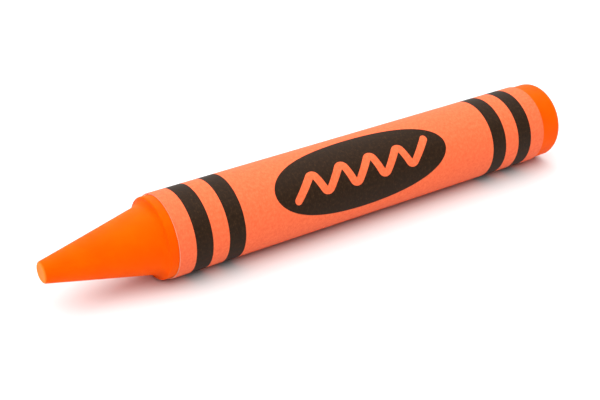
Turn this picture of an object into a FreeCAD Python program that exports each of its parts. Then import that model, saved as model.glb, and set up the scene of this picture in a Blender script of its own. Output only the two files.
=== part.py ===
import FreeCAD, Part
import math
import os

import Sketcher

# A jumbo wax crayon lying on its side, all sizes in millimetres and degrees.
#
# The stick is cast in wax and pigment. A paper strip, printed while it is flat, is wound twice
# round the stick and pasted down. Every piece is modelled round its own X axis with x = 0 at the
# nose face and x growing towards the butt. The Placement then lays the crayon down: the origin
# is under its middle, the label touches z = 0, and the tip points along -X.

SIZES = [
    # the wax stick
    ("total_length", 101.4, "nose face to butt face"),
    ("wax_radius", 6.9, "barrel of the stick, without its label"),
    ("nose_radius", 1.75, "flat nose face at the tip"),
    ("nose_round", 0.5, "edge of the nose face"),
    ("cone_length", 18.4, "nose face to the foot of the cone"),
    ("shoulder_height", 1.05, "how far the barrel stands out from the cone's foot"),
    ("shoulder_run", 0.3, "how far the shoulder leans back along the axis"),
    ("foot_blend", 1.3, "hollow blend between cone and shoulder"),
    ("shoulder_round", 0.35, "top edge of the shoulder"),
    ("butt_round", 1.4, "edge of the butt face"),
    # the label and its paste
    ("shoulder_bare", 1.5, "bare wax between the shoulder corner and the label"),
    ("butt_bare", 4.8, "bare wax between the label and the butt face"),
    ("paper", 0.08, "one thickness of label paper"),
    ("paste", 0.02, "paste film under each turn"),
    ("seam_angle", -30.0, "where the strip starts, from +Y towards +Z"),
    ("lap_angle", 6.5, "arc in which the second turn climbs onto the first"),
    ("lap_gap_angle", 1.5, "arc left open between the strip's end and that climb"),
    # the print
    ("ink", 0.02, "how deep the ink soaks into the paper"),
    ("print_shift", -0.11, "print's middle from the label's middle"),
    ("band_width", 3.03, ""),
    ("band_gap", 3.0, "between the two bands of a pair"),
    ("band_margin", 3.05, "label edge to the outer band"),
    ("oval_shift", -2.0, "oval's middle from the label's middle"),
    ("oval_angle", 143.5, "oval's middle round the barrel, from +Y towards +Z"),
    ("oval_half_length", 17.65, "along the barrel"),
    ("oval_half_width", 6.68, "round the barrel, along the paper"),
    ("squiggle_line", 1.4, "width of the unprinted line across the oval"),
    ("squiggle_pitch", 2.95, "from one bend of the line to the next, along the barrel"),
    ("squiggle_rise", 2.5, "half the line's height at its tallest"),
    ("squiggle_bend", 0.75, "radius of each bend"),
]

SQUIGGLE_BENDS = 10
OVAL_POINTS = 36

# The sketcher's own numbers for points and axes.
START, END, CENTRE = 1, 2, 3
SKETCH_X_AXIS, SKETCH_Y_AXIS = -1, -2
SKETCH_ORIGIN = (SKETCH_X_AXIS, START)


class Size:
    """A number that also knows the sheet formula it stands for."""

    def __init__(self, value, text):
        self.value = value
        self.text = text

    def __add__(self, other):
        return combine(self, "+", as_size(other), self.value + as_size(other).value)

    def __sub__(self, other):
        return combine(self, "-", as_size(other), self.value - as_size(other).value)

    def __mul__(self, other):
        return combine(self, "*", as_size(other), self.value * as_size(other).value)

    def __truediv__(self, other):
        return combine(self, "/", as_size(other), self.value / as_size(other).value)


def as_size(number):
    return number if isinstance(number, Size) else Size(float(number), str(float(number)))


def combine(left, sign, right, value):
    return Size(value, "(%s %s %s)" % (left.text, sign, right.text))


def make_sheet(doc):
    """Write the driving dimensions into the sheet and return each of them as a Size."""
    sheet = doc.addObject("Spreadsheet::Sheet", "sizes")
    for row, (alias, value, note) in enumerate(SIZES, start=1):
        sheet.set("A%d" % row, alias)
        sheet.set("B%d" % row, str(value))
        sheet.set("C%d" % row, note)
        sheet.setAlias("B%d" % row, alias)
    doc.recompute()
    return {alias: Size(float(sheet.get(alias)), "sizes." + alias) for alias, _, _ in SIZES}


doc = FreeCAD.newDocument("crayon")
size = make_sheet(doc)

# Places that several pieces share, each worked out once from the sheet.
shoulder_x = size["cone_length"] + size["shoulder_run"]
label_x = shoulder_x + size["shoulder_bare"]
label_end_x = size["total_length"] - size["butt_bare"]
label_length = label_end_x - label_x
label_middle_x = (label_x + label_end_x) / 2
turn_one_in = size["wax_radius"] + size["paste"]
turn_one_out = turn_one_in + size["paper"]
turn_two_in = turn_one_out + size["paste"]
label_radius = turn_two_in + size["paper"]
print_floor = label_radius - size["ink"]
printed_angle = as_size(360) - size["lap_angle"] - size["lap_gap_angle"]


# ---------------------------------------------------------------- helpers
def lay_down(piece):
    """Move a piece from its own axis to where the crayon lies."""
    piece.setExpression("Placement.Base.x", "-sizes.total_length / 2")
    piece.setExpression("Placement.Base.z", label_radius.text)


def new_body(name):
    body = doc.addObject("PartDesign::Body", name)
    body.Label = name
    lay_down(body)
    return body


def new_sketch(body, name, role):
    """Add a sketch on one of the body's own origin planes."""
    sketch = body.newObject("Sketcher::SketchObject", name)
    plane = next(item for item in body.Origin.OriginFeatures if item.Role == role)
    sketch.AttachmentSupport = (plane, [""])
    sketch.MapMode = "FlatFace"
    return sketch


def bind(sketch, constraint, amount):
    """Add a dimension to a sketch and tie it to the sheet."""
    index = sketch.addConstraint(constraint)
    sketch.setExpression("Constraints[%d]" % index, amount.text)


def place_point(sketch, edge, end, across, up):
    """Fix one end of an edge: None puts the point on that axis."""
    if across is None:
        sketch.addConstraint(Sketcher.Constraint("PointOnObject", edge, end, SKETCH_Y_AXIS))
    else:
        bind(sketch, Sketcher.Constraint(
            "DistanceX", *SKETCH_ORIGIN, edge, end, across.value), across)
    if up is None:
        sketch.addConstraint(Sketcher.Constraint("PointOnObject", edge, end, SKETCH_X_AXIS))
    else:
        bind(sketch, Sketcher.Constraint("DistanceY", *SKETCH_ORIGIN, edge, end, up.value), up)


def draw_outline(sketch, corners):
    """Draw a closed outline of straight lines through (across, up) corners."""
    points = [FreeCAD.Vector(across.value if across else 0, up.value if up else 0, 0)
              for across, up in corners]
    lines = [sketch.addGeometry(Part.LineSegment(point, points[(number + 1) % len(points)]), False)
             for number, point in enumerate(points)]
    for number, line in enumerate(lines):
        following = lines[(number + 1) % len(lines)]
        sketch.addConstraint(Sketcher.Constraint("Coincident", line, END, following, START))
    for line, (across, up) in zip(lines, corners):
        place_point(sketch, line, START, across, up)


def draw_circle(sketch, radius):
    """Draw a circle round the sketch's origin."""
    ring = Part.Circle(FreeCAD.Vector(), FreeCAD.Vector(0, 0, 1), radius.value)
    circle = sketch.addGeometry(ring, False)
    sketch.addConstraint(Sketcher.Constraint("Coincident", circle, CENTRE, *SKETCH_ORIGIN))
    bind(sketch, Sketcher.Constraint("Radius", circle, radius.value), radius)


def revolve(body, name, sketch):
    """Turn a sketch round the body's X axis."""
    feature = body.newObject("PartDesign::Revolution", name)
    feature.Profile = sketch
    feature.ReferenceAxis = (sketch, ["H_Axis"])
    feature.Angle = 360
    return feature


def pad_label_length(body, name, sketch):
    """Stretch a cross-section from the label's front edge to its back edge."""
    sketch.AttachmentOffset = FreeCAD.Placement(
        FreeCAD.Vector(0, 0, label_x.value), FreeCAD.Rotation())
    sketch.setExpression("AttachmentOffset.Base.z", label_x.text)
    pad = body.newObject("PartDesign::Pad", name)
    pad.Profile = sketch
    pad.setExpression("Length", label_length.text)


def round_edge(body, name, across, up, amount):
    """Round the ring-shaped edge that a revolved corner left."""
    doc.recompute()
    base = body.Tip
    ring = next(number for number, edge in enumerate(base.Shape.Edges, start=1)
                if isinstance(edge.Curve, Part.Circle)
                and abs(edge.Curve.Center.x - across.value) < 1e-4
                and abs(edge.Curve.Radius - up.value) < 1e-4)
    fillet = body.newObject("PartDesign::Fillet", name)
    fillet.Base = (base, ["Edge%d" % ring])
    fillet.setExpression("Radius", amount.text)


# ---------------------------------------------------------------- the wax stick
def make_wax_stick():
    body = new_body("wax_stick")
    foot_radius = size["wax_radius"] - size["shoulder_height"]
    profile = new_sketch(body, "stick_profile", "XZ_Plane")
    draw_outline(profile, [
        (None, None),
        (None, size["nose_radius"]),
        (size["cone_length"], foot_radius),
        (shoulder_x, size["wax_radius"]),
        (size["total_length"], size["wax_radius"]),
        (size["total_length"], None),
    ])
    revolve(body, "stick_cast", profile)
    round_edge(body, "nose_edge", as_size(0), size["nose_radius"], size["nose_round"])
    round_edge(body, "foot_hollow", size["cone_length"], foot_radius, size["foot_blend"])
    round_edge(body, "shoulder_edge", shoulder_x, size["wax_radius"], size["shoulder_round"])
    round_edge(body, "butt_edge", size["total_length"], size["wax_radius"], size["butt_round"])
    return body


# ---------------------------------------------------------------- the label and its paste
def polar(radius, angle):
    """Point of a cross-section at so many degrees from the sketch's X axis."""
    turned = math.radians(angle.value)
    return FreeCAD.Vector(radius.value * math.cos(turned), radius.value * math.sin(turned), 0)


def draw_ray(sketch, angle):
    """Draw a construction line from the centre of the cross-section, past the label."""
    reach = label_radius * 2
    ray = sketch.addGeometry(Part.LineSegment(FreeCAD.Vector(), polar(reach, angle)), True)
    sketch.addConstraint(Sketcher.Constraint("Coincident", ray, START, *SKETCH_ORIGIN))
    bind(sketch, Sketcher.Constraint("Distance", ray, reach.value), reach)
    opening = as_size(360) - angle
    bind(sketch, Sketcher.Constraint(
        "Angle", ray, START, *SKETCH_ORIGIN, math.radians(opening.value)), opening)
    return ray


def draw_wound_strip(sketch):
    """Draw the strip's cross-section: two turns, with a short climb where the second begins.

    The strip starts on the sketch's X axis. One ray marks where the climb begins and another
    where the strip ends.
    """
    stop_angles = {"climb": as_size(360) - size["lap_angle"], "end": printed_angle}
    rays = {stop: draw_ray(sketch, angle) for stop, angle in stop_angles.items()}
    faces = {
        "first turn's inside": (turn_one_in, "climb"),
        "first turn's outside": (turn_one_out, "climb"),
        "second turn's inside": (turn_two_in, "end"),
        "second turn's outside": (label_radius, "end"),
    }
    arcs = {}
    for face, (radius, stop) in faces.items():
        ring = Part.Circle(FreeCAD.Vector(), FreeCAD.Vector(0, 0, 1), radius.value)
        sweep = math.radians(stop_angles[stop].value)
        arc = arcs[face] = sketch.addGeometry(Part.ArcOfCircle(ring, 0, sweep), False)
        sketch.addConstraint(Sketcher.Constraint("Coincident", arc, CENTRE, *SKETCH_ORIGIN))
        bind(sketch, Sketcher.Constraint("Radius", arc, radius.value), radius)
        sketch.addConstraint(Sketcher.Constraint("PointOnObject", arc, START, SKETCH_X_AXIS))
        sketch.addConstraint(Sketcher.Constraint("PointOnObject", arc, END, rays[stop]))

    def arc_tip(face, end):
        radius, stop = faces[face]
        return polar(radius, stop_angles[stop] if end == END else as_size(0))

    joins = {
        "strip's first edge": ("first turn's inside", START, "first turn's outside", START),
        "climb's underside": ("first turn's inside", END, "second turn's inside", START),
        "climb's top": ("first turn's outside", END, "second turn's outside", START),
        "strip's last edge": ("second turn's inside", END, "second turn's outside", END),
    }
    for one, one_end, other, other_end in joins.values():
        line = sketch.addGeometry(
            Part.LineSegment(arc_tip(one, one_end), arc_tip(other, other_end)), False)
        sketch.addConstraint(Sketcher.Constraint("Coincident", line, START, arcs[one], one_end))
        sketch.addConstraint(Sketcher.Constraint("Coincident", line, END, arcs[other], other_end))


def make_label_strip():
    """Wind the plain strip, before its printed parts are taken out of it."""
    body = new_body("label_strip")
    sketch = new_sketch(body, "strip_profile", "YZ_Plane")
    draw_wound_strip(sketch)
    pad_label_length(body, "strip_length", sketch)
    sketch.AttachmentOffset = FreeCAD.Placement(
        sketch.AttachmentOffset.Base,
        FreeCAD.Rotation(FreeCAD.Vector(0, 0, 1), size["seam_angle"].value))
    sketch.setExpression("AttachmentOffset.Rotation.Angle", size["seam_angle"].text)
    return body


def make_sleeve(name, inside, outside):
    """Make a plain sleeve as long as the label."""
    body = new_body(name)
    sketch = new_sketch(body, name + "_profile", "YZ_Plane")
    draw_circle(sketch, inside)
    draw_circle(sketch, outside)
    pad_label_length(body, name + "_length", sketch)
    return body


def cut(name, base, tool):
    piece = doc.addObject("Part::Cut", name)
    piece.Label = name
    piece.Base = base
    piece.Tool = tool
    return piece


# ---------------------------------------------------------------- the print
def make_band(name, middle_x):
    """Make one printed ring, which runs from the strip's climb round to its last edge."""
    body = new_body(name)
    sketch = new_sketch(body, name + "_profile", "XZ_Plane")
    front, back = middle_x - size["band_width"] / 2, middle_x + size["band_width"] / 2
    draw_outline(sketch, [(front, print_floor), (back, print_floor),
                          (back, label_radius), (front, label_radius)])
    # A sketch on the XZ plane stands up along +Z, which is a quarter turn on from +Y.
    lean = size["seam_angle"] - 90
    sketch.AttachmentOffset = FreeCAD.Placement(
        FreeCAD.Vector(), FreeCAD.Rotation(FreeCAD.Vector(1, 0, 0), lean.value))
    sketch.setExpression("AttachmentOffset.Rotation.Angle", lean.text)
    ring = revolve(body, name + "_ring", sketch)
    ring.setExpression("Angle", printed_angle.text)
    return body


def band_places():
    """Give the middle of each band, mirrored about the middle of the print."""
    middle = label_middle_x + size["print_shift"]
    outer = label_length / 2 - size["band_margin"] - size["band_width"] / 2
    inner = outer - size["band_width"] - size["band_gap"]
    return {
        "front_outer_band": middle - outer,
        "front_inner_band": middle - inner,
        "rear_inner_band": middle + inner,
        "rear_outer_band": middle + outer,
    }


def seen_from_above(across, around):
    """Project a point of the flat print, once it is wrapped, onto the plane of its middle."""
    radius = label_radius.value
    return FreeCAD.Vector(across, radius * math.sin(around / radius), 0)


def oval_face():
    """Outline of the wrapped oval, which is a true ellipse while the paper is flat."""
    steps = [2 * math.pi * number / OVAL_POINTS for number in range(OVAL_POINTS)]
    points = [seen_from_above(size["oval_half_length"].value * math.cos(step),
                              size["oval_half_width"].value * math.sin(step))
              for step in steps]
    curve = Part.BSplineCurve()
    curve.interpolate(points, PeriodicFlag=True)
    return Part.Face(Part.Wire(curve.toShape()))


def squiggle_corners():
    """Corners of the loose up-and-down line: it swells towards its middle and leans a little."""
    corners = []
    for number in range(SQUIGGLE_BENDS):
        place = number - (SQUIGGLE_BENDS - 1) / 2
        swell = 0.72 + 0.28 * math.cos(math.pi * place / SQUIGGLE_BENDS)
        height = size["squiggle_rise"].value * swell * (1 if number % 2 else -1)
        lean = 0.25 * height
        corners.append(seen_from_above(size["squiggle_pitch"].value * place + lean, height))
    return corners


def squiggle_face():
    """One line of even width with rounded bends and ends, drawn without lifting the pen."""
    corners = squiggle_corners()
    edges = []
    pen = corners[0]
    for before, corner, after in zip(corners, corners[1:], corners[2:]):
        back, onward = (before - corner).normalize(), (after - corner).normalize()
        half = back.getAngle(onward) / 2
        setback = size["squiggle_bend"].value / math.tan(half)
        inwards = (back + onward).normalize()
        centre = corner + inwards * (size["squiggle_bend"].value / math.sin(half))
        leave, join = corner + back * setback, corner + onward * setback
        edges.append(Part.LineSegment(pen, leave).toShape())
        crest = centre - inwards * size["squiggle_bend"].value
        edges.append(Part.Arc(leave, crest, join).toShape())
        pen = join
    edges.append(Part.LineSegment(pen, corners[-1]).toShape())
    return Part.Face(Part.Wire(edges).makeOffset2D(size["squiggle_line"].value / 2))


def make_cylinder(name, radius):
    """Add a plain cylinder over the label's length."""
    cylinder = doc.addObject("Part::Cylinder", name)
    cylinder.setExpression("Radius", radius.text)
    cylinder.setExpression("Height", label_length.text)
    cylinder.Placement.Rotation = FreeCAD.Rotation(FreeCAD.Vector(0, 1, 0), 90)
    cylinder.setExpression("Placement.Base.x", (label_x - size["total_length"] / 2).text)
    cylinder.setExpression("Placement.Base.z", label_radius.text)
    return cylinder


def make_oval_badge():
    """Print the oval with the squiggle left out, as a film that follows the barrel."""
    outline = doc.addObject("Part::Feature", "oval_outline")
    outline.Shape = oval_face().cut(squiggle_face())
    # The outline is drawn facing +Z, which is a quarter turn on from +Y.
    facing = size["oval_angle"] - 90
    middle_x = label_middle_x + size["oval_shift"] - size["total_length"] / 2
    outline.Placement.Rotation = FreeCAD.Rotation(FreeCAD.Vector(1, 0, 0), facing.value)
    outline.setExpression("Placement.Rotation.Angle", facing.text)
    outline.setExpression("Placement.Base.x", middle_x.text)
    outline.setExpression("Placement.Base.z", label_radius.text)

    prism = doc.addObject("Part::Extrusion", "oval_prism")
    prism.Base = outline
    prism.DirMode = "Normal"
    prism.Solid = True
    prism.setExpression("LengthFwd", (label_radius * 2).text)

    film = cut("ink_film", make_cylinder("ink_outside", label_radius),
               make_cylinder("ink_inside", print_floor))
    badge = doc.addObject("Part::Common", "oval_badge")
    badge.Label = "oval_badge"
    badge.Base = prism
    badge.Tool = film
    return badge


# ---------------------------------------------------------------- the whole crayon
def make_crayon():
    """Make every piece and return them by name."""
    pieces = {"wax_stick": make_wax_stick()}
    pieces["stick_paste"] = make_sleeve("stick_paste", size["wax_radius"], turn_one_in)
    for name, middle_x in band_places().items():
        pieces[name] = make_band(name, middle_x)
    pieces["oval_badge"] = make_oval_badge()

    printed = doc.addObject("Part::Compound", "printed_areas")
    printed.Links = [piece for name, piece in pieces.items() if "band" in name or "badge" in name]
    strip = make_label_strip()
    pieces["paper_label"] = cut("paper_label", strip, printed)
    between_turns = make_sleeve("between_turns", turn_one_in, turn_two_in)
    pieces["lap_paste"] = cut("lap_paste", between_turns, strip)
    doc.recompute()
    return pieces


def check(pieces):
    """Stop before anything is written if an object failed or a piece isn't one sound solid."""
    for item in doc.Objects:
        if {"Invalid", "Error"} & set(item.State):
            raise RuntimeError("%s did not rebuild: %s" % (item.Label, item.State))
    for name, piece in pieces.items():
        shape = piece.Shape
        if shape.isNull() or not shape.isValid() or len(shape.Solids) != 1:
            raise RuntimeError("%s is not one sound solid" % name)


def write(pieces):
    os.makedirs("parts", exist_ok=True)
    for name, piece in pieces.items():
        piece.Shape.exportStep("parts/%s.step" % name)
        box = piece.Shape.optimalBoundingBox(False, False)
        print("%-17s %8.2f mm3  x %7.2f..%7.2f  y %6.2f..%5.2f  z %5.2f..%5.2f" % (
            name, piece.Shape.Volume, box.XMin, box.XMax, box.YMin, box.YMax, box.ZMin, box.ZMax))


crayon = make_crayon()
check(crayon)
write(crayon)
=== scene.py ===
# %% [markdown]
# # A jumbo wax crayon
# This lesson dresses a finished CAD model of a crayon. The crayon is a cast stick of orange wax
# inside a paper label that is printed flat, wound twice round the stick and pasted down.
# The CAD model gives the places and the outer sizes. Here the same pieces are modelled again, with
# the softness of wax and the thinness of paper, and given their finishes.

# %% Load the frame
import math

import bmesh
import bpy
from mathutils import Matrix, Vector


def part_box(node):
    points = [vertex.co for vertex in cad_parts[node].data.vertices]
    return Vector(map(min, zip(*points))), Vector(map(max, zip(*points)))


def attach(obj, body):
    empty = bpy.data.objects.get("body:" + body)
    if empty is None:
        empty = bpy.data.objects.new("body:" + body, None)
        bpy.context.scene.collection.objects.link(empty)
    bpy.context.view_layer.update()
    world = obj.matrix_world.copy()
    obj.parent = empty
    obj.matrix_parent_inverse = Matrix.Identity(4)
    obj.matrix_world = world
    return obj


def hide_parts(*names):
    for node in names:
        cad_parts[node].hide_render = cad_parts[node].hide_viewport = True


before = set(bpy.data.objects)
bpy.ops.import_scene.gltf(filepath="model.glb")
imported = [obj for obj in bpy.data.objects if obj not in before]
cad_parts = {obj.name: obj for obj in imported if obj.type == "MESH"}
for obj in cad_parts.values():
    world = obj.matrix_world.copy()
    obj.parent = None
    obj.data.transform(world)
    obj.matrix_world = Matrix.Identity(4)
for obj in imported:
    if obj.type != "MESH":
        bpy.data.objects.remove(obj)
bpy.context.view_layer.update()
print("CAD nodes:", sorted(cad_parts))

# %% [markdown]
# ## The bench
# Paper is 0.08 mm thick, and Blender's mesh tools have distances in them that are meant for
# things a metre across. So everything is made on a bench where one unit is a millimetre, and
# each finished piece is shrunk to metres at the end. The frame's boxes are read in millimetres
# too, so the bench and the CAD model share their places.

# %% Bench helpers
MM = 0.001


def box_mm(node):
    """Lowest and highest corner of a CAD node, in millimetres."""
    low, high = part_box(node)
    return low / MM, high / MM


def nothing_selected():
    if bpy.context.object and bpy.context.object.mode != "OBJECT":
        bpy.ops.object.mode_set(mode="OBJECT")
    bpy.ops.object.select_all(action="DESELECT")


def only(piece):
    """Select one object and make it the active one."""
    nothing_selected()
    piece.select_set(True)
    bpy.context.view_layer.objects.active = piece
    return piece


def just_added(name):
    """Name the primitive that was just added and put its place into its mesh."""
    piece = bpy.context.object
    piece.name = piece.data.name = name
    only(piece)
    bpy.ops.object.transform_apply(location=True, rotation=True, scale=True)
    return piece


def pick(piece, kind, wanted):
    """Open a piece in edit mode with only the wanted vertices, edges or faces selected."""
    only(piece)
    bpy.ops.object.mode_set(mode="EDIT")
    bpy.ops.mesh.select_mode(type=kind)
    bpy.ops.mesh.select_all(action="DESELECT")
    mesh = bmesh.from_edit_mesh(piece.data)
    parts = {"VERT": mesh.verts, "EDGE": mesh.edges, "FACE": mesh.faces}[kind]
    found = [part for part in parts if wanted(part)]
    for part in found:
        part.select_set(True)
    mesh.select_flush_mode()
    bmesh.update_edit_mesh(piece.data)
    return len(found)


def done():
    bpy.ops.object.mode_set(mode="OBJECT")


def apply_modifier(piece, kind, **settings):
    """Add a modifier, set it up and apply it."""
    only(piece)
    modifier = piece.modifiers.new(kind.title(), kind)
    for name, value in settings.items():
        setattr(modifier, name, value)
    bpy.ops.object.modifier_apply(modifier=modifier.name)


def to_metres(piece):
    """Shrink a finished piece from bench millimetres to metres, place included."""
    only(piece)
    bpy.ops.transform.resize(value=(MM, MM, MM), center_override=(0, 0, 0))
    bpy.ops.object.transform_apply(location=True, rotation=True, scale=True)


def smooth(piece, angle=35):
    only(piece)
    bpy.ops.object.shade_smooth_by_angle(angle=math.radians(angle))


def report(piece):
    faces = len(piece.data.polygons)
    low = [min(v.co[i] for v in piece.data.vertices) for i in range(3)]
    high = [max(v.co[i] for v in piece.data.vertices) for i in range(3)]
    print(f"{piece.name}: {faces} faces, {[round(a, 3) for a in low]} to {[round(a, 3) for a in high]}")


# %% Sizes that the frame gives
stick_low, stick_high = box_mm("wax_stick")
label_low, label_high = box_mm("paper_label")
LABEL_RADIUS = label_high.z / 2
WAX_RADIUS = round((stick_high.z - stick_low.z) / 2, 1)
NOSE_X, BUTT_X = stick_low.x, stick_high.x
LABEL_X0, LABEL_X1 = label_low.x, label_high.x
print(f"stick {BUTT_X - NOSE_X:.1f} mm long, label radius {LABEL_RADIUS:.2f}, wax radius {WAX_RADIUS:.2f}")

# %% [markdown]
# ## The view
# The camera stands a short way off, above the crayon's front side and a little towards its tip.
# It is a long lens, so the barrel tapers only gently with distance.

# %% Camera
CAMERA_PLACE = Vector((-111.01, -159.49, 107.74)) * MM
CAMERA_TURN, CAMERA_DIP = math.radians(34.008), math.radians(27.974)
LENS = 77.01

view = bpy.data.cameras.new("view")
view.lens = LENS
view.sensor_width = 36
view.clip_start = 0.01
camera = bpy.data.objects.new("view", view)
bpy.context.scene.collection.objects.link(camera)
looking = Vector((math.sin(CAMERA_TURN) * math.cos(CAMERA_DIP),
                  math.cos(CAMERA_TURN) * math.cos(CAMERA_DIP), -math.sin(CAMERA_DIP)))
camera.location = CAMERA_PLACE
camera.rotation_euler = looking.to_track_quat("-Z", "Y").to_euler()
bpy.context.scene.camera = camera
print("camera", [round(c, 4) for c in camera.location])

# %% [markdown]
# ## The wax stick
# A real one is cast: melted wax fills a cold mould, and the finished stick is pushed out from
# the tip's side. That leaves a flat nose, a hollow curve where the cone meets the shoulder, and a
# rounded butt with a faint dish in it, because wax shrinks as it sets. It could be one curve
# spun round the axis. Here a cylinder is the barrel, and its front face is extruded and shrunk
# into shoulder and cone, so that every step can be seen and changed. The edges are bevelled last.

# %% Sizes of the stick
AROUND = 192
CONE_LENGTH = 18.4
SHOULDER_RUN = 0.3
SHOULDER_HEIGHT = 1.05
NOSE_RADIUS = 1.75
NOSE_SETBACK, FOOT_SETBACK, SHOULDER_SETBACK, BUTT_SETBACK = 0.4, 0.77, 0.27, 1.4
FOOT_RADIUS = WAX_RADIUS - SHOULDER_HEIGHT
SHOULDER_X = NOSE_X + CONE_LENGTH + SHOULDER_RUN
FOOT_X = SHOULDER_X - SHOULDER_RUN


def off_axis(place):
    """How far a place is from the crayon's axis."""
    return math.hypot(place.y, place.z - LABEL_RADIUS)


def cap_at(x):
    """Pick the flat end face at x."""
    return lambda face: (abs(face.calc_center_median().x - x) < 0.01
                         and abs(face.normal.x) > 0.9 and off_axis(face.calc_center_median()) < 0.1)


def ring_at(x, radius):
    """Pick the edges of the ring at x with that radius."""
    return lambda edge: all(abs(v.co.x - x) < 0.01 and abs(off_axis(v.co) - radius) < 0.02
                            for v in edge.verts)


def stretch_cap(piece, x, step, ratio):
    """Extrude the end face at x along the axis and shrink it."""
    pick(piece, "FACE", cap_at(x))
    bpy.ops.mesh.extrude_region_move(TRANSFORM_OT_translate={"value": (step, 0, 0)})
    bpy.ops.transform.resize(value=(1, ratio, ratio),
                             center_override=(x + step, 0, LABEL_RADIUS))
    done()


def round_ring(piece, x, radius, setback, segments):
    """Bevel the ring at x; setback is how far the rounding reaches from the corner."""
    count = pick(piece, "EDGE", ring_at(x, radius))
    bpy.ops.mesh.bevel(offset=setback, offset_type="OFFSET", segments=segments,
                       profile=0.5, affect="EDGES", clamp_overlap=True)
    done()
    print(f"  rounded {count} edges at x {x:.2f}")


# %% Cast the stick
bpy.ops.mesh.primitive_cylinder_add(
    vertices=AROUND, radius=WAX_RADIUS, depth=BUTT_X - SHOULDER_X, end_fill_type="NGON",
    location=((BUTT_X + SHOULDER_X) / 2, 0, LABEL_RADIUS), rotation=(0, math.radians(90), 0))
stick = just_added("wax_stick_cast")
stretch_cap(stick, SHOULDER_X, -SHOULDER_RUN, FOOT_RADIUS / WAX_RADIUS)
stretch_cap(stick, FOOT_X, -CONE_LENGTH, NOSE_RADIUS / FOOT_RADIUS)
round_ring(stick, NOSE_X, NOSE_RADIUS, NOSE_SETBACK, 8)
round_ring(stick, FOOT_X, FOOT_RADIUS, FOOT_SETBACK, 10)
round_ring(stick, SHOULDER_X, WAX_RADIUS, SHOULDER_SETBACK, 8)
round_ring(stick, BUTT_X, WAX_RADIUS, BUTT_SETBACK, 12)
report(stick)

# %% [markdown]
# Long faces can't hold small dents, so the cone and the barrel are divided along their length.

# %% Divide it
RING_STEP = 0.8


def divide_between(piece, x0, x1):
    """Cut the long edges between two rings into steps of about RING_STEP."""
    def long_edge(edge):
        xs = sorted(v.co.x for v in edge.verts)
        return abs(xs[0] - x0) < 0.02 and abs(xs[1] - x1) < 0.02

    count = pick(piece, "EDGE", long_edge)
    bpy.ops.mesh.subdivide(number_cuts=round((x1 - x0) / RING_STEP) - 1)
    done()
    print(f"  divided {count} long edges from {x0:.2f} to {x1:.2f}")


def ring_places(piece):
    return sorted({round(v.co.x, 3) for v in piece.data.vertices})


def longest_gaps(piece, least):
    places = ring_places(piece)
    return [(a, b) for a, b in zip(places, places[1:]) if b - a > least]


for x0, x1 in longest_gaps(stick, 2 * RING_STEP):
    divide_between(stick, x0, x1)
report(stick)

# %% Dish the two ends
def dish(piece, x, rings, depth):
    """Inset an end face several times, sink it a little more each time and close it to a point."""
    outward = 1 if x > 0 else -1
    for number, width in enumerate(rings, start=1):
        pick(piece, "FACE", lambda face: (face.normal.x * outward > 0.9
                                          and len(face.verts) == AROUND))
        bpy.ops.mesh.inset(thickness=width, depth=0)
        sunk = depth * number / len(rings) * -outward
        bpy.ops.transform.translate(value=(sunk / len(rings), 0, 0))
        done()
    pick(piece, "FACE", lambda face: face.normal.x * outward > 0.9 and len(face.verts) == AROUND)
    bpy.ops.mesh.poke()
    done()


BUTT_RINGS, BUTT_DISH = (0.5, 0.8, 0.9, 1.0, 1.0, 0.8), 0.12
NOSE_RINGS, NOSE_DISH = (0.12, 0.3, 0.4, 0.4), 0.05
dish(stick, BUTT_X, BUTT_RINGS, BUTT_DISH)
dish(stick, NOSE_X, NOSE_RINGS, NOSE_DISH)
report(stick)

# %% [markdown]
# No casting is true. A Displace modifier with a soft cloud pattern sinks the surface by up to a
# twentieth of a millimetre, which is what breaks up the light along the barrel and cone.

# %% Let the wax shrink unevenly
def sink_in(piece, name, size_mm, depth_mm):
    """Sink a surface by up to depth_mm in a cloud pattern."""
    pattern = bpy.data.textures.new(name, "CLOUDS")
    pattern.noise_scale = size_mm
    pattern.noise_depth = 2
    apply_modifier(piece, "DISPLACE", texture=pattern, strength=depth_mm,
                   mid_level=1.0, texture_coords="LOCAL")


sink_in(stick, "slow_shrinkage", size_mm=7.0, depth_mm=0.05)
sink_in(stick, "fine_shrinkage", size_mm=1.3, depth_mm=0.018)
smooth(stick, 40)
to_metres(stick)
report(stick)

# %% [markdown]
# ## The label, flat
# The label is made the way a factory makes it: printed flat, then wound. On the bench it stands
# upright as a long strip, 0.08 mm thick, with its printed side towards -Y. Its length, up the Z
# axis, is two turns of the barrel. Height zero is the line that will face straight forwards,
# so an angle round the barrel becomes a height of radius times angle.

# %% Sizes of the strip
PAPER = 0.08
PASTE = 0.02
INK = 0.02
SEAM_ANGLE = 210.0       # from straight forwards, over the top, down the back
LAP_ANGLE = 6.5
LAP_GAP_ANGLE = 1.5
ROW_ANGLE = 2.0
COLUMN_STEP = 1.5


def height_at(angle):
    """Height on the flat strip of an angle round the barrel."""
    return LABEL_RADIUS * math.radians(angle)


STRIP_TOP_TURN = (SEAM_ANGLE - 360 + LAP_ANGLE + LAP_GAP_ANGLE, SEAM_ANGLE)
STRIP_END_ANGLE = SEAM_ANGLE + 360
strip_z0, strip_z1 = height_at(STRIP_TOP_TURN[0]), height_at(STRIP_END_ANGLE)
print(f"strip: {LABEL_X1 - LABEL_X0:.1f} by {strip_z1 - strip_z0:.1f} mm")

# %% Cut the strip
columns = round((LABEL_X1 - LABEL_X0) / COLUMN_STEP)
rows = round((STRIP_END_ANGLE - STRIP_TOP_TURN[0]) / ROW_ANGLE)


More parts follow.
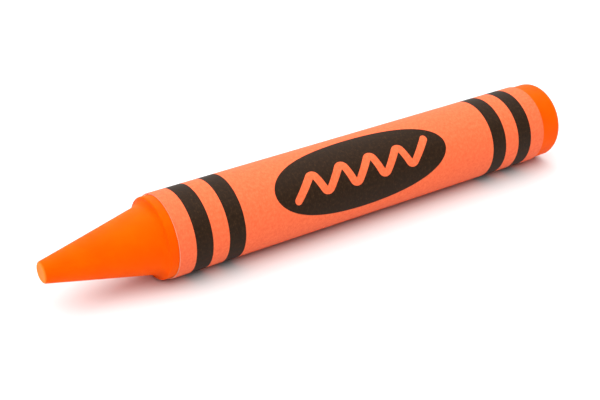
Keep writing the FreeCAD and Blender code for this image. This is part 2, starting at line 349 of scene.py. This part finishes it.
def upright_sheet(name, x0, x1, z0, z1, columns, rows):
    """A divided sheet that stands in the XZ plane with its front towards -Y."""
    bpy.ops.mesh.primitive_grid_add(
        x_subdivisions=columns, y_subdivisions=rows, size=1,
        location=((x0 + x1) / 2, 0, (z0 + z1) / 2), rotation=(math.radians(90), 0, 0))
    bpy.context.object.scale = (x1 - x0, z1 - z0, 1)
    return just_added(name)


strip = upright_sheet("paper_label_wound", LABEL_X0, LABEL_X1, strip_z0, strip_z1, columns, rows)
lap = height_at(SEAM_ANGLE), height_at(SEAM_ANGLE + LAP_ANGLE)
for z in lap:
    pick(strip, "FACE", lambda face: True)
    bpy.ops.mesh.bisect(plane_co=(0, 0, z), plane_no=(0, 0, 1), threshold=1e-5)
    done()

# The first turn lies one paper and one paste film deeper, with a slope between the two turns.
for vertex in strip.data.vertices:
    share = (vertex.co.z - lap[0]) / (lap[1] - lap[0])
    vertex.co.y = (PAPER + PASTE) * min(1, max(0, share))
apply_modifier(strip, "SOLIDIFY", thickness=PAPER, offset=-1)
report(strip)

# %% [markdown]
# ## The print
# Ink soaks into the top of the paper. Bands and oval are stamped out as solids of their own, as
# deep as the ink goes: each stamp is a block that reaches through the paper's face, the paper is
# the strip minus the stamps, and the ink is the strip inside a stamp. A line in a picture of the
# print would blur when the model is seen close up, while these edges stay sharp.

# %% Stamps for the bands
def stamp_block(name, x0, x1, z0, z1):
    """A block that reaches INK deep into the strip's face."""
    bpy.ops.mesh.primitive_cube_add(
        size=1, location=((x0 + x1) / 2, (INK - 1) / 2, (z0 + z1) / 2),
        scale=(x1 - x0, 1 + INK, z1 - z0))
    return just_added(name)


BANDS = ("front_outer_band", "front_inner_band", "rear_inner_band", "rear_outer_band")
stamps = {}
for band in BANDS:
    low, high = box_mm(band)
    stamps[band] = stamp_block(band + "_stamp", low.x, high.x, strip_z0 - 1, lap[0])
    print(f"  {band}: {low.x:.2f} to {high.x:.2f}")

# %% [markdown]
# The oval is an ellipse while the paper is flat. A loose squiggle is left unprinted in it. The
# squiggle is drawn as a brush would: one edge, as wide as the line, is extruded along each
# straight and spun round the centre of each bend. The ribbon it leaves is made thick and taken
# out of the oval's stamp, and so are two posts that round off its ends.

# %% Stamp for the oval
SQUIGGLE_LINE = 1.4
SQUIGGLE_PITCH = 2.95
SQUIGGLE_RISE = 2.5
SQUIGGLE_BEND = 0.75
SQUIGGLE_BENDS = 10

oval_low, oval_high = box_mm("oval_badge")
oval_x = (oval_low.x + oval_high.x) / 2
oval_half_length = (oval_high.x - oval_low.x) / 2
oval_bottom = math.asin((oval_low.z - LABEL_RADIUS) / LABEL_RADIUS)
oval_top = math.acos(-oval_high.y / LABEL_RADIUS)
oval_z = LABEL_RADIUS * (oval_bottom + oval_top) / 2
oval_half_width = LABEL_RADIUS * (oval_top - oval_bottom) / 2
oval_angle = math.degrees(oval_z / LABEL_RADIUS)
print(f"oval: {2 * oval_half_length:.1f} by {2 * oval_half_width:.1f} mm, {oval_angle:.1f} degrees up")


def squiggle_corner(number):
    place = number - (SQUIGGLE_BENDS - 1) / 2
    swell = 0.72 + 0.28 * math.cos(math.pi * place / SQUIGGLE_BENDS)
    height = SQUIGGLE_RISE * swell * (1 if number % 2 else -1)
    return Vector((oval_x + SQUIGGLE_PITCH * place + 0.25 * height, 0, oval_z + height))


def squiggle_ribbon():
    """The unprinted line: an edge as wide as the line, dragged along it and swung round each bend."""
    corners = [squiggle_corner(number) for number in range(SQUIGGLE_BENDS)]
    here = corners[0]
    across = (corners[1] - here).cross(Vector((0, 1, 0))).normalized() * SQUIGGLE_LINE
    bpy.ops.mesh.primitive_plane_add(size=1, location=here - across / 2)
    line = just_added("squiggle")
    pick(line, "VERT", lambda vertex: True)
    bpy.ops.mesh.merge(type="CENTER")
    bpy.ops.mesh.extrude_region_move(TRANSFORM_OT_translate={"value": across})
    bpy.ops.mesh.select_all(action="SELECT")
    for before, corner, after in zip(corners, corners[1:], corners[2:]):
        arriving, leaving = (corner - before).normalized(), (after - corner).normalized()
        turn = arriving.angle(leaving)
        setback = SQUIGGLE_BEND * math.tan(turn / 2)
        centre = corner + (leaving - arriving).normalized() * SQUIGGLE_BEND / math.cos(turn / 2)
        bpy.ops.mesh.extrude_region_move(
            TRANSFORM_OT_translate={"value": corner - arriving * setback - here})
        bpy.ops.mesh.spin(steps=12, angle=turn, center=centre, axis=leaving.cross(arriving))
        here = corner + leaving * setback
    bpy.ops.mesh.extrude_region_move(TRANSFORM_OT_translate={"value": corners[-1] - here})
    bpy.ops.mesh.select_all(action="SELECT")
    bpy.ops.transform.translate(value=(0, -2, 0))
    bpy.ops.mesh.extrude_region_move(TRANSFORM_OT_translate={"value": (0, 4, 0)})
    bpy.ops.mesh.select_all(action="SELECT")
    bpy.ops.mesh.normals_make_consistent(inside=False)
    done()
    return line, (corners[0], corners[-1])


def combine(piece, tool, operation):
    """Boolean one bench solid with another."""
    apply_modifier(piece, "BOOLEAN", object=tool, operation=operation, solver="EXACT")


def throw_away(piece):
    bpy.data.objects.remove(piece, do_unlink=True)


def oval_stamp():
    bpy.ops.mesh.primitive_cylinder_add(
        vertices=200, radius=1, depth=1 + INK, location=(oval_x, (INK - 1) / 2, oval_z),
        rotation=(math.radians(90), 0, 0))
    bpy.context.object.scale = (oval_half_length, oval_half_width, 1)
    stamp = just_added("oval_badge_stamp")
    line, ends = squiggle_ribbon()
    combine(stamp, line, "DIFFERENCE")
    throw_away(line)
    for end in ends:
        bpy.ops.mesh.primitive_cylinder_add(
            vertices=48, radius=SQUIGGLE_LINE / 2, depth=3, location=end,
            rotation=(math.radians(90), 0, 0))
        post = just_added("round_end")
        combine(stamp, post, "DIFFERENCE")
        throw_away(post)
    return stamp


stamps["oval_badge"] = oval_stamp()
report(stamps["oval_badge"])

# %% Print the strip
def copy_of(piece, name):
    twin = piece.copy()
    twin.data = piece.data.copy()
    twin.name = twin.data.name = name
    bpy.context.scene.collection.objects.link(twin)
    return twin


inks = {}
for name, stamp in stamps.items():
    inks[name] = copy_of(strip, name + "_ink")
    combine(inks[name], stamp, "INTERSECT")
    report(inks[name])
for stamp in stamps.values():
    combine(strip, stamp, "DIFFERENCE")
    throw_away(stamp)
report(strip)

# %% [markdown]
# ## Winding the label
# A Simple Deform modifier set to Bend rolls up anything that stands along Z. Its angle is the
# strip's length divided by the barrel's radius, which is nearly two full turns, and because the
# first turn was set one paper deeper, it ends up under the second. Before it is wound, each
# sheet's flat places are kept as a UV map, in millimetres, so that the paper's fibres can follow
# the sheet.

# %% Wind paper and ink
def keep_flat_places(piece):
    layer = piece.data.uv_layers.new(name="flat_mm")
    for loop in piece.data.loops:
        place = piece.data.vertices[loop.vertex_index].co
        layer.data[loop.index].uv = (place.x, place.z)


def wind(piece):
    keep_flat_places(piece)
    heights = [v.co.z for v in piece.data.vertices]
    turned = (max(heights) - min(heights)) / LABEL_RADIUS
    apply_modifier(piece, "SIMPLE_DEFORM", deform_method="BEND", deform_axis="X", angle=turned)
    only(piece)
    bpy.ops.transform.translate(value=(0, -LABEL_RADIUS, LABEL_RADIUS))
    bpy.ops.object.transform_apply(location=True, rotation=False, scale=False)


for piece in (strip, *inks.values()):
    wind(piece)
    report(piece)

# %% Finish the sheets
for piece in (strip, *inks.values()):
    sink_in(piece, "paper_cockle", size_mm=5.0, depth_mm=0.012)
    smooth(piece, 30)
    to_metres(piece)
    report(piece)

# %% [markdown]
# ## Finishes
# Each finish is a Principled shader with its colour, roughness and bump made by noise patterns.

# %% Finish helpers
def finish(name):
    material = bpy.data.materials.new(name)
    material.use_nodes = True
    shader = material.node_tree.nodes["Principled BSDF"]
    return material, material.node_tree, shader


def add(tree, kind, **settings):
    node = tree.nodes.new(kind)
    for name, value in settings.items():
        if name in node.inputs:
            node.inputs[name].default_value = value
        else:
            setattr(node, name, value)
    return node


def noise(tree, vector, scale, detail=4.0, roughness=0.6):
    node = add(tree, "ShaderNodeTexNoise")
    node.inputs["Scale"].default_value = scale
    node.inputs["Detail"].default_value = detail
    node.inputs["Roughness"].default_value = roughness
    tree.links.new(vector, node.inputs["Vector"])
    return node.outputs["Fac"]


def ramp(tree, value, stops):
    """Colours along a pattern; stops are (place, (r, g, b))."""
    node = add(tree, "ShaderNodeValToRGB")
    elements = node.color_ramp.elements
    while len(elements) < len(stops):
        elements.new(0.5)
    for element, (place, colour) in zip(elements, stops):
        element.position = place
        element.color = (*colour, 1)
    tree.links.new(value, node.inputs["Fac"])
    return node.outputs["Color"]


def spread(tree, value, low, high):
    """Map a pattern's usual span onto low to high."""
    node = add(tree, "ShaderNodeMapRange")
    node.inputs["From Min"].default_value = 0.3
    node.inputs["From Max"].default_value = 0.7
    node.inputs["To Min"].default_value = low
    node.inputs["To Max"].default_value = high
    tree.links.new(value, node.inputs["Value"])
    return node.outputs["Result"]


def bump(tree, shader, height, depth_mm, strength):
    node = add(tree, "ShaderNodeBump")
    node.inputs["Strength"].default_value = strength
    node.inputs["Distance"].default_value = depth_mm * MM
    tree.links.new(height, node.inputs["Height"])
    tree.links.new(node.outputs["Normal"], shader.inputs["Normal"])


# %% Wax
def paler_nose_face(tree, place, colour):
    """The flat of the nose is given a paler colour."""
    parts = add(tree, "ShaderNodeSeparateXYZ")
    tree.links.new(place, parts.inputs["Vector"])
    nearness = add(tree, "ShaderNodeMapRange")
    nearness.inputs["From Min"].default_value = (NOSE_X + 0.3) * MM
    nearness.inputs["From Max"].default_value = (NOSE_X + 0.05) * MM
    tree.links.new(parts.outputs["X"], nearness.inputs["Value"])
    mix = add(tree, "ShaderNodeMix", data_type="RGBA")
    tree.links.new(nearness.outputs["Result"], mix.inputs["Factor"])
    tree.links.new(colour, mix.inputs["A"])
    # A paler wax colour for the nose's flat face.
    mix.inputs["B"].default_value = (0.98, 0.24, 0.025, 1)
    return mix.outputs["Result"]


def make_wax():
    material, tree, shader = finish("orange_wax")
    place = add(tree, "ShaderNodeTexCoord").outputs["Object"]
    cloudy = noise(tree, place, 160, 3)
    colour = ramp(tree, cloudy,
                  [(0.3, (0.93, 0.085, 0.0)), (0.5, (0.95, 0.095, 0.0)), (0.7, (0.97, 0.108, 0.0))])
    tree.links.new(paler_nose_face(tree, place, colour), shader.inputs["Base Color"])
    tree.links.new(spread(tree, noise(tree, place, 900, 4), 0.55, 0.68), shader.inputs["Roughness"])
    shader.inputs["Subsurface Weight"].default_value = 0.2
    shader.inputs["Subsurface Radius"].default_value = (1.0, 0.25, 0.05)
    shader.inputs["Subsurface Scale"].default_value = 0.0012
    shader.inputs["Specular IOR Level"].default_value = 0.1
    shader.inputs["Specular Tint"].default_value = (1, 0.45, 0.05, 1)
    bump(tree, shader, noise(tree, place, 2600, 5), 0.01, 0.5)
    return material


# %% Paper and ink
def flat_place(tree, along=1.0, around=1.0):
    """The sheet's own flat places in millimetres, stretched either way."""
    uv = add(tree, "ShaderNodeUVMap", uv_map="flat_mm").outputs["UV"]
    mapping = add(tree, "ShaderNodeMapping")
    mapping.inputs["Scale"].default_value = (along, around, 1)
    tree.links.new(uv, mapping.inputs["Vector"])
    return mapping.outputs["Vector"]


def fibres(tree):
    """Paper formation: cloudy flocks with short fibres over them."""
    flocks = noise(tree, flat_place(tree), 1.6, 6, 0.65)
    hairs = noise(tree, flat_place(tree, 1.0, 0.35), 5.0, 4, 0.7)
    mix = add(tree, "ShaderNodeMix", data_type="FLOAT")
    mix.inputs["Factor"].default_value = 0.5
    tree.links.new(flocks, mix.inputs["A"])
    tree.links.new(hairs, mix.inputs["B"])
    return mix.outputs["Result"]


def make_paper():
    material, tree, shader = finish("orange_label_paper")
    formation = fibres(tree)
    colour = ramp(tree, formation, [
        (0.4, (0.87, 0.112, 0.028)), (0.5, (0.93, 0.14, 0.04)), (0.6, (0.97, 0.175, 0.056))])
    tree.links.new(colour, shader.inputs["Base Color"])
    tree.links.new(spread(tree, formation, 0.7, 0.85), shader.inputs["Roughness"])
    shader.inputs["Sheen Weight"].default_value = 0.05
    shader.inputs["Sheen Roughness"].default_value = 0.4
    shader.inputs["Specular IOR Level"].default_value = 0.4
    bump(tree, shader, formation, 0.02, 0.6)
    return material


def make_cut_edge():
    """Where the label was cut, its paler core shows, and the colour is made lighter still as a painted
    highlight of the cut edge catching the light.
    """
    material, tree, shader = finish("pale_core_and_painted_highlight")
    place = add(tree, "ShaderNodeTexCoord").outputs["Object"]
    # Pale core colour, lightened further as a painted highlight where the cut edge catches the light.
    colour = ramp(tree, noise(tree, place, 2000, 3),
                  [(0.35, (0.85, 0.36, 0.24)), (0.65, (0.95, 0.5, 0.38))])
    tree.links.new(colour, shader.inputs["Base Color"])
    shader.inputs["Roughness"].default_value = 0.9
    shader.inputs["Specular IOR Level"].default_value = 0.1
    return material


def make_ink():
    material, tree, shader = finish("dark_brown_ink")
    formation = fibres(tree)
    colour = ramp(tree, formation, [
        (0.4, (0.018, 0.008, 0.003)), (0.52, (0.025, 0.0115, 0.0045)), (0.65, (0.05, 0.024, 0.01))])
    tree.links.new(colour, shader.inputs["Base Color"])
    tree.links.new(spread(tree, formation, 0.5, 0.68), shader.inputs["Roughness"])
    shader.inputs["Sheen Weight"].default_value = 0.03
    shader.inputs["Sheen Roughness"].default_value = 0.4
    shader.inputs["Specular IOR Level"].default_value = 0.1
    bump(tree, shader, formation, 0.02, 0.5)
    return material


def make_paste():
    material, tree, shader = finish("dried_paste")
    place = add(tree, "ShaderNodeTexCoord").outputs["Object"]
    colour = ramp(tree, noise(tree, place, 700, 4), [(0.3, (0.72, 0.4, 0.2)), (0.7, (0.85, 0.55, 0.3))])
    tree.links.new(colour, shader.inputs["Base Color"])
    tree.links.new(spread(tree, noise(tree, place, 1800, 3), 0.35, 0.6), shader.inputs["Roughness"])
    return material


wax, paper, cut_edge, ink, paste = (
    make_wax(), make_paper(), make_cut_edge(), make_ink(), make_paste())
print("finishes:", wax.name, paper.name, cut_edge.name, ink.name, paste.name)

# %% [markdown]
# ## Putting the crayon together
# Every piece rides on the crayon's one body and takes its finish, and the CAD nodes it stands for
# are hidden. The two films of paste keep their CAD solids, because all that
# shows of them is a hair's breadth at the label's ends.

# %% Assemble
def show_core_and_highlight(sheet, material):
    """Give the faces at the sheet's two cut ends a finish of their own: the paler core with a painted
    highlight.
    """
    sheet.data.materials.append(material)
    count = pick(sheet, "FACE", lambda face: abs(face.normal.x) > 0.9 and any(
        abs(face.calc_center_median().x - x * MM) < 0.03 * MM for x in (LABEL_X0, LABEL_X1)))
    sheet.active_material_index = len(sheet.data.materials) - 1
    bpy.ops.object.material_slot_assign()
    done()
    print(f"  {count} faces at the cut ends")


def dress(piece, material, slot, *nodes):
    piece.data.materials.clear()
    piece.data.materials.append(material)
    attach(piece, "root")
    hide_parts(*nodes)


dress(stick, wax, "wax", "wax_stick")
dress(strip, paper, "label_paper", "paper_label")
show_core_and_highlight(strip, cut_edge)
for name, piece in inks.items():
    dress(piece, ink, "ink", name)
for node in ("stick_paste", "lap_paste"):
    for material_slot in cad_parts[node].material_slots:
        material_slot.material = paste

# %% [markdown]
# ## The studio
# A white sweep, a wide soft box overhead, a little towards the tip and the front, and a weaker
# panel behind that brightens the crayon's upper edge. The room itself is nearly dark. The sweep
# goes clean white and throws light up at the crayon's front, and the shadow is darkest where the
# label touches it and fades slowly, because the box is wide.

# %% Floor and lights
def make_floor():
    bpy.ops.mesh.primitive_plane_add(size=3, location=(0, 0, 0))
    floor = just_added("floor")
    material, tree, shader = finish("white_sweep")
    shader.inputs["Base Color"].default_value = (0.78, 0.78, 0.78, 1)
    shader.inputs["Roughness"].default_value = 0.7
    shader.inputs["Specular IOR Level"].default_value = 0.2
    floor.data.materials.append(material)


def soft_box(name, place, width, height, radiance):
    """A panel that faces the crayon; radiance 1 would show as plain white."""
    data = bpy.data.lights.new(name, "AREA")
    data.shape = "RECTANGLE"
    data.size, data.size_y = width, height
    data.energy = radiance * math.pi * width * height
    lamp = bpy.data.objects.new(name, data)
    bpy.context.scene.collection.objects.link(lamp)
    lamp.location = place
    lamp.rotation_euler = (-Vector(place)).to_track_quat("-Z", "Y").to_euler()
    return lamp


make_floor()
soft_box("overhead", (-0.15, -0.1, 0.9), 2.0, 2.0, 2.6)
soft_box("back_panel", (0.5, 1.05, 0.6), 2.2, 1.2, 1.3)
world = bpy.data.worlds.new("studio")
bpy.context.scene.world = world
world.use_nodes = True
world.node_tree.nodes["Background"].inputs["Color"].default_value = (1, 1, 1, 1)
world.node_tree.nodes["Background"].inputs["Strength"].default_value = 0.08
bpy.context.scene.view_settings.view_transform = "Standard"
